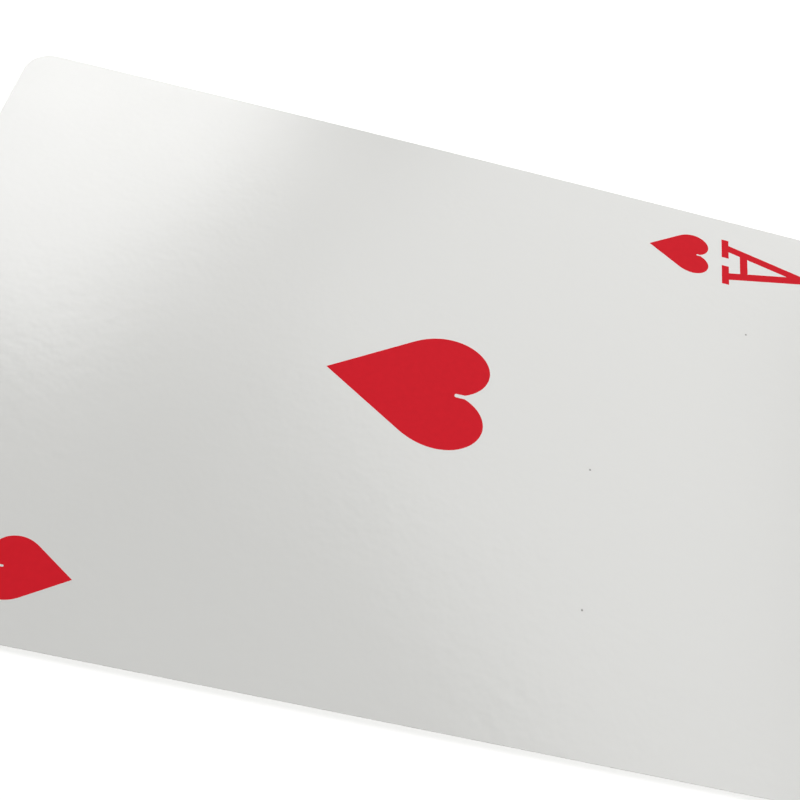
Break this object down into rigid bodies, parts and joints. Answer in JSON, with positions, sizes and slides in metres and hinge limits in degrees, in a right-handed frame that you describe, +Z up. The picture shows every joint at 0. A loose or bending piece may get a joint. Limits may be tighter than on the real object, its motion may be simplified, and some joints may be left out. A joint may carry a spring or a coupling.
{
  "type": "playing card deck",
  "caption": "Deck of plastic bridge-size playing cards with rounded corners: a squared face-up stock and an ace of hearts dealt beside it, for card games.",
  "frame": {"origin": "middle of the underside of the stock's bottom card, on the table", "axes": "+X along a card, towards its top end, with the dealt ace at -X; +Y across a card, away from the pictured viewer; +Z up"},
  "size_m": [0.1904, 0.058, 0.0175],
  "materials": {
    "white_pvc": "satin",
    "red_ink": "satin"
  },
  "bodies": {
    "black_joker": {"black_joker": "white_pvc"},
    "red_joker": {"red_joker": "white_pvc"},
    "ace_of_spades": {"ace_of_spades": "white_pvc"},
    "two_of_spades": {"two_of_spades": "white_pvc"},
    "three_of_spades": {"three_of_spades": "white_pvc"},
    "four_of_spades": {"four_of_spades": "white_pvc"},
    "five_of_spades": {"five_of_spades": "white_pvc"},
    "six_of_spades": {"six_of_spades": "white_pvc"},
    "seven_of_spades": {"seven_of_spades": "white_pvc"},
    "eight_of_spades": {"eight_of_spades": "white_pvc"},
    "nine_of_spades": {"nine_of_spades": "white_pvc"},
    "ten_of_spades": {"ten_of_spades": "white_pvc"},
    "jack_of_spades": {"jack_of_spades": "white_pvc"},
    "queen_of_spades": {"queen_of_spades": "white_pvc"},
    "king_of_spades": {"king_of_spades": "white_pvc"},
    "ace_of_diamonds": {"ace_of_diamonds": "white_pvc"},
    "two_of_diamonds": {"two_of_diamonds": "white_pvc"},
    "three_of_diamonds": {"three_of_diamonds": "white_pvc"},
    "four_of_diamonds": {"four_of_diamonds": "white_pvc"},
    "five_of_diamonds": {"five_of_diamonds": "white_pvc"},
    "six_of_diamonds": {"six_of_diamonds": "white_pvc"},
    "seven_of_diamonds": {"seven_of_diamonds": "white_pvc"},
    "eight_of_diamonds": {"eight_of_diamonds": "white_pvc"},
    "nine_of_diamonds": {"nine_of_diamonds": "white_pvc"},
    "ten_of_diamonds": {"ten_of_diamonds": "white_pvc"},
    "jack_of_diamonds": {"jack_of_diamonds": "white_pvc"},
    "queen_of_diamonds": {"queen_of_diamonds": "white_pvc"},
    "king_of_diamonds": {"king_of_diamonds": "white_pvc"},
    "king_of_clubs": {"king_of_clubs": "white_pvc"},
    "queen_of_clubs": {"queen_of_clubs": "white_pvc"},
    "jack_of_clubs": {"jack_of_clubs": "white_pvc"},
    "ten_of_clubs": {"ten_of_clubs": "white_pvc"},
    "nine_of_clubs": {"nine_of_clubs": "white_pvc"},
    "eight_of_clubs": {"eight_of_clubs": "white_pvc"},
    "seven_of_clubs": {"seven_of_clubs": "white_pvc"},
    "six_of_clubs": {"six_of_clubs": "white_pvc"},
    "five_of_clubs": {"five_of_clubs": "white_pvc"},
    "four_of_clubs": {"four_of_clubs": "white_pvc"},
    "three_of_clubs": {"three_of_clubs": "white_pvc"},
    "two_of_clubs": {"two_of_clubs": "white_pvc"},
    "ace_of_clubs": {"ace_of_clubs": "white_pvc"},
    "king_of_hearts": {"king_of_hearts": "white_pvc"},
    "queen_of_hearts": {"queen_of_hearts": "white_pvc"},
    "jack_of_hearts": {"jack_of_hearts": "white_pvc"},
    "ten_of_hearts": {"ten_of_hearts": "white_pvc"},
    "nine_of_hearts": {"nine_of_hearts": "white_pvc"},
    "eight_of_hearts": {"eight_of_hearts": "white_pvc"},
    "seven_of_hearts": {"seven_of_hearts": "white_pvc"},
    "six_of_hearts": {"six_of_hearts": "white_pvc"},
    "five_of_hearts": {"five_of_hearts": "white_pvc"},
    "four_of_hearts": {"four_of_hearts": "white_pvc"},
    "three_of_hearts": {"three_of_hearts": "white_pvc"},
    "two_of_hearts": {"two_of_hearts": "white_pvc", "two_of_hearts_print": "red_ink"},
    "ace_of_hearts": {"ace_of_hearts": "white_pvc", "ace_of_hearts_print": "red_ink"}
  },
  "joints": [
    {"name": "ace_of_hearts_turn", "type": "hinge", "parent": "black_joker", "child": "ace_of_hearts", "pos_m": [-0.101, 0.0285, 0.00015], "axis": [-1, 0, 0], "range_deg": [0, 180]},
    {"name": "two_of_hearts_deal", "type": "slide", "parent": "black_joker", "child": "two_of_hearts", "axis": [-1, 0, 0], "range_m": [0, 0.101]},
    {"name": "three_of_hearts_deal", "type": "slide", "parent": "black_joker", "child": "three_of_hearts", "axis": [-1, 0, 0], "range_m": [0, 0.101]},
    {"name": "four_of_hearts_deal", "type": "slide", "parent": "black_joker", "child": "four_of_hearts", "axis": [-1, 0, 0], "range_m": [0, 0.101]},
    {"name": "five_of_hearts_deal", "type": "slide", "parent": "black_joker", "child": "five_of_hearts", "axis": [-1, 0, 0], "range_m": [0, 0.101]},
    {"name": "six_of_hearts_deal", "type": "slide", "parent": "black_joker", "child": "six_of_hearts", "axis": [-1, 0, 0], "range_m": [0, 0.101]},
    {"name": "seven_of_hearts_deal", "type": "slide", "parent": "black_joker", "child": "seven_of_hearts", "axis": [-1, 0, 0], "range_m": [0, 0.101]},
    {"name": "eight_of_hearts_deal", "type": "slide", "parent": "black_joker", "child": "eight_of_hearts", "axis": [-1, 0, 0], "range_m": [0, 0.101]},
    {"name": "nine_of_hearts_deal", "type": "slide", "parent": "black_joker", "child": "nine_of_hearts", "axis": [-1, 0, 0], "range_m": [0, 0.101]},
    {"name": "ten_of_hearts_deal", "type": "slide", "parent": "black_joker", "child": "ten_of_hearts", "axis": [-1, 0, 0], "range_m": [0, 0.101]},
    {"name": "jack_of_hearts_deal", "type": "slide", "parent": "black_joker", "child": "jack_of_hearts", "axis": [-1, 0, 0], "range_m": [0, 0.101]},
    {"name": "queen_of_hearts_deal", "type": "slide", "parent": "black_joker", "child": "queen_of_hearts", "axis": [-1, 0, 0], "range_m": [0, 0.101]},
    {"name": "king_of_hearts_deal", "type": "slide", "parent": "black_joker", "child": "king_of_hearts", "axis": [-1, 0, 0], "range_m": [0, 0.101]},
    {"name": "ace_of_clubs_deal", "type": "slide", "parent": "black_joker", "child": "ace_of_clubs", "axis": [-1, 0, 0], "range_m": [0, 0.101]},
    {"name": "two_of_clubs_deal", "type": "slide", "parent": "black_joker", "child": "two_of_clubs", "axis": [-1, 0, 0], "range_m": [0, 0.101]},
    {"name": "three_of_clubs_deal", "type": "slide", "parent": "black_joker", "child": "three_of_clubs", "axis": [-1, 0, 0], "range_m": [0, 0.101]},
    {"name": "four_of_clubs_deal", "type": "slide", "parent": "black_joker", "child": "four_of_clubs", "axis": [-1, 0, 0], "range_m": [0, 0.101]},
    {"name": "five_of_clubs_deal", "type": "slide", "parent": "black_joker", "child": "five_of_clubs", "axis": [-1, 0, 0], "range_m": [0, 0.101]},
    {"name": "six_of_clubs_deal", "type": "slide", "parent": "black_joker", "child": "six_of_clubs", "axis": [-1, 0, 0], "range_m": [0, 0.101]},
    {"name": "seven_of_clubs_deal", "type": "slide", "parent": "black_joker", "child": "seven_of_clubs", "axis": [-1, 0, 0], "range_m": [0, 0.101]},
    {"name": "eight_of_clubs_deal", "type": "slide", "parent": "black_joker", "child": "eight_of_clubs", "axis": [-1, 0, 0], "range_m": [0, 0.101]},
    {"name": "nine_of_clubs_deal", "type": "slide", "parent": "black_joker", "child": "nine_of_clubs", "axis": [-1, 0, 0], "range_m": [0, 0.101]},
    {"name": "ten_of_clubs_deal", "type": "slide", "parent": "black_joker", "child": "ten_of_clubs", "axis": [-1, 0, 0], "range_m": [0, 0.101]},
    {"name": "jack_of_clubs_deal", "type": "slide", "parent": "black_joker", "child": "jack_of_clubs", "axis": [-1, 0, 0], "range_m": [0, 0.101]},
    {"name": "queen_of_clubs_deal", "type": "slide", "parent": "black_joker", "child": "queen_of_clubs", "axis": [-1, 0, 0], "range_m": [0, 0.101]},
    {"name": "king_of_clubs_deal", "type": "slide", "parent": "black_joker", "child": "king_of_clubs", "axis": [-1, 0, 0], "range_m": [0, 0.101]},
    {"name": "king_of_diamonds_deal", "type": "slide", "parent": "black_joker", "child": "king_of_diamonds", "axis": [-1, 0, 0], "range_m": [0, 0.101]},
    {"name": "queen_of_diamonds_deal", "type": "slide", "parent": "black_joker", "child": "queen_of_diamonds", "axis": [-1, 0, 0], "range_m": [0, 0.101]},
    {"name": "jack_of_diamonds_deal", "type": "slide", "parent": "black_joker", "child": "jack_of_diamonds", "axis": [-1, 0, 0], "range_m": [0, 0.101]},
    {"name": "ten_of_diamonds_deal", "type": "slide", "parent": "black_joker", "child": "ten_of_diamonds", "axis": [-1, 0, 0], "range_m": [0, 0.101]},
    {"name": "nine_of_diamonds_deal", "type": "slide", "parent": "black_joker", "child": "nine_of_diamonds", "axis": [-1, 0, 0], "range_m": [0, 0.101]},
    {"name": "eight_of_diamonds_deal", "type": "slide", "parent": "black_joker", "child": "eight_of_diamonds", "axis": [-1, 0, 0], "range_m": [0, 0.101]},
    {"name": "seven_of_diamonds_deal", "type": "slide", "parent": "black_joker", "child": "seven_of_diamonds", "axis": [-1, 0, 0], "range_m": [0, 0.101]},
    {"name": "six_of_diamonds_deal", "type": "slide", "parent": "black_joker", "child": "six_of_diamonds", "axis": [-1, 0, 0], "range_m": [0, 0.101]},
    {"name": "five_of_diamonds_deal", "type": "slide", "parent": "black_joker", "child": "five_of_diamonds", "axis": [-1, 0, 0], "range_m": [0, 0.101]},
    {"name": "four_of_diamonds_deal", "type": "slide", "parent": "black_joker", "child": "four_of_diamonds", "axis": [-1, 0, 0], "range_m": [0, 0.101]},
    {"name": "three_of_diamonds_deal", "type": "slide", "parent": "black_joker", "child": "three_of_diamonds", "axis": [-1, 0, 0], "range_m": [0, 0.101]},
    {"name": "two_of_diamonds_deal", "type": "slide", "parent": "black_joker", "child": "two_of_diamonds", "axis": [-1, 0, 0], "range_m": [0, 0.101]},
    {"name": "ace_of_diamonds_deal", "type": "slide", "parent": "black_joker", "child": "ace_of_diamonds", "axis": [-1, 0, 0], "range_m": [0, 0.101]},
    {"name": "king_of_spades_deal", "type": "slide", "parent": "black_joker", "child": "king_of_spades", "axis": [-1, 0, 0], "range_m": [0, 0.101]},
    {"name": "queen_of_spades_deal", "type": "slide", "parent": "black_joker", "child": "queen_of_spades", "axis": [-1, 0, 0], "range_m": [0, 0.101]},
    {"name": "jack_of_spades_deal", "type": "slide", "parent": "black_joker", "child": "jack_of_spades", "axis": [-1, 0, 0], "range_m": [0, 0.101]},
    {"name": "ten_of_spades_deal", "type": "slide", "parent": "black_joker", "child": "ten_of_spades", "axis": [-1, 0, 0], "range_m": [0, 0.101]},
    {"name": "nine_of_spades_deal", "type": "slide", "parent": "black_joker", "child": "nine_of_spades", "axis": [-1, 0, 0], "range_m": [0, 0.101]},
    {"name": "eight_of_spades_deal", "type": "slide", "parent": "black_joker", "child": "eight_of_spades", "axis": [-1, 0, 0], "range_m": [0, 0.101]},
    {"name": "seven_of_spades_deal", "type": "slide", "parent": "black_joker", "child": "seven_of_spades", "axis": [-1, 0, 0], "range_m": [0, 0.101]},
    {"name": "six_of_spades_deal", "type": "slide", "parent": "black_joker", "child": "six_of_spades", "axis": [-1, 0, 0], "range_m": [0, 0.101]},
    {"name": "five_of_spades_deal", "type": "slide", "parent": "black_joker", "child": "five_of_spades", "axis": [-1, 0, 0], "range_m": [0, 0.101]},
    {"name": "four_of_spades_deal", "type": "slide", "parent": "black_joker", "child": "four_of_spades", "axis": [-1, 0, 0], "range_m": [0, 0.101]},
    {"name": "three_of_spades_deal", "type": "slide", "parent": "black_joker", "child": "three_of_spades", "axis": [-1, 0, 0], "range_m": [0, 0.101]},
    {"name": "two_of_spades_deal", "type": "slide", "parent": "black_joker", "child": "two_of_spades", "axis": [-1, 0, 0], "range_m": [0, 0.101]},
    {"name": "ace_of_spades_deal", "type": "slide", "parent": "black_joker", "child": "ace_of_spades", "axis": [-1, 0, 0], "range_m": [0, 0.101]},
    {"name": "red_joker_deal", "type": "slide", "parent": "black_joker", "child": "red_joker", "axis": [-1, 0, 0], "range_m": [0, 0.101]}
  ]
}
